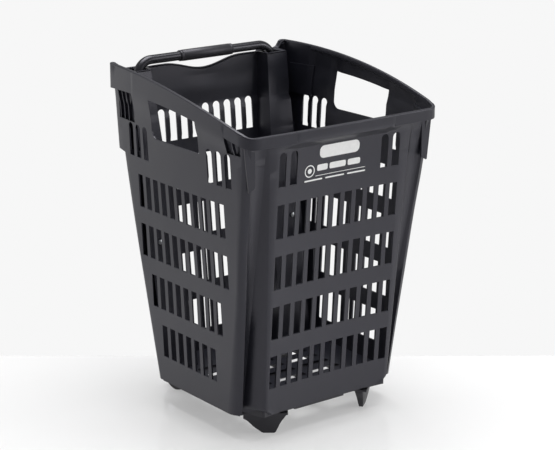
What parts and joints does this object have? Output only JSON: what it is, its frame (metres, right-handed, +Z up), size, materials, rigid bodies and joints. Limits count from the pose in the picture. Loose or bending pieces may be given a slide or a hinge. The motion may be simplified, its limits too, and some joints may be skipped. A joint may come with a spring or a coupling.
{
  "type": "rolling shopping basket",
  "caption": "Tall tapered plastic shopping basket with slotted walls, hand holes, front feet, rear wheels and a pull-up bail handle behind it.",
  "frame": {"origin": "on the floor, under the middle of the outline", "axes": "+Z up; -Y towards the printed front wall, +Y towards the wheels and the handle; +X to the right seen from the front"},
  "size_m": [0.4114, 0.414, 0.5999],
  "materials": {
    "basket_plastic": "satin black moulded polypropylene",
    "trim_plastic": "black moulded plastic",
    "handle_paint": "black painted tube, semi-gloss",
    "grip_plastic": "black grip sleeve",
    "tyre_rubber": "black rubber",
    "hub_plastic": "dark moulded wheel hub",
    "bush_plastic": "natural white bearing bush",
    "guide_metal": "drawn tube",
    "bright_zinc": "zinc plated steel"
  },
  "bodies": {
    "basket": {"basket_body": "basket_plastic", "chassis": "trim_plastic", "rear_axle": "bright_zinc", "front_foot_left": "trim_plastic", "foot_screw_left": "bright_zinc", "axle_carrier_left": "trim_plastic", "carrier_screw_left": "bright_zinc", "wheel_spacer_left": "trim_plastic", "axle_cap_left": "bright_zinc", "guide_tube_left": "guide_metal", "guide_collar_left": "trim_plastic", "guide_socket_left": "trim_plastic", "socket_screw_left": "bright_zinc", "guide_clip_left": "trim_plastic", "clip_screw_left": "bright_zinc", "front_foot_right": "trim_plastic", "foot_screw_right": "bright_zinc", "axle_carrier_right": "trim_plastic", "carrier_screw_right": "bright_zinc", "wheel_spacer_right": "trim_plastic", "axle_cap_right": "bright_zinc", "guide_tube_right": "guide_metal", "guide_collar_right": "trim_plastic", "guide_socket_right": "trim_plastic", "socket_screw_right": "bright_zinc", "guide_clip_right": "trim_plastic", "clip_screw_right": "bright_zinc"},
    "handle": {"handle_tube": "handle_paint", "handle_grip": "grip_plastic", "leg_stop_left": "trim_plastic", "leg_stop_right": "trim_plastic"},
    "left_wheel": {"wheel_hub_left": "hub_plastic", "wheel_tyre_left": "tyre_rubber", "wheel_bush_left": "bush_plastic"},
    "right_wheel": {"wheel_hub_right": "hub_plastic", "wheel_tyre_right": "tyre_rubber", "wheel_bush_right": "bush_plastic"}
  },
  "joints": [
    {"name": "handle_slide", "type": "slide", "parent": "basket", "child": "handle", "axis": [0, 0.0896, 0.996], "range_m": [0, 0.235]},
    {"name": "left_wheel_spin", "type": "hinge", "parent": "basket", "child": "left_wheel", "pos_m": [-0.107, 0.13, 0.035], "axis": [1, 0, 0], "continuous": true},
    {"name": "right_wheel_spin", "type": "hinge", "parent": "basket", "child": "right_wheel", "pos_m": [0.107, 0.13, 0.035], "axis": [1, 0, 0], "continuous": true}
  ]
}
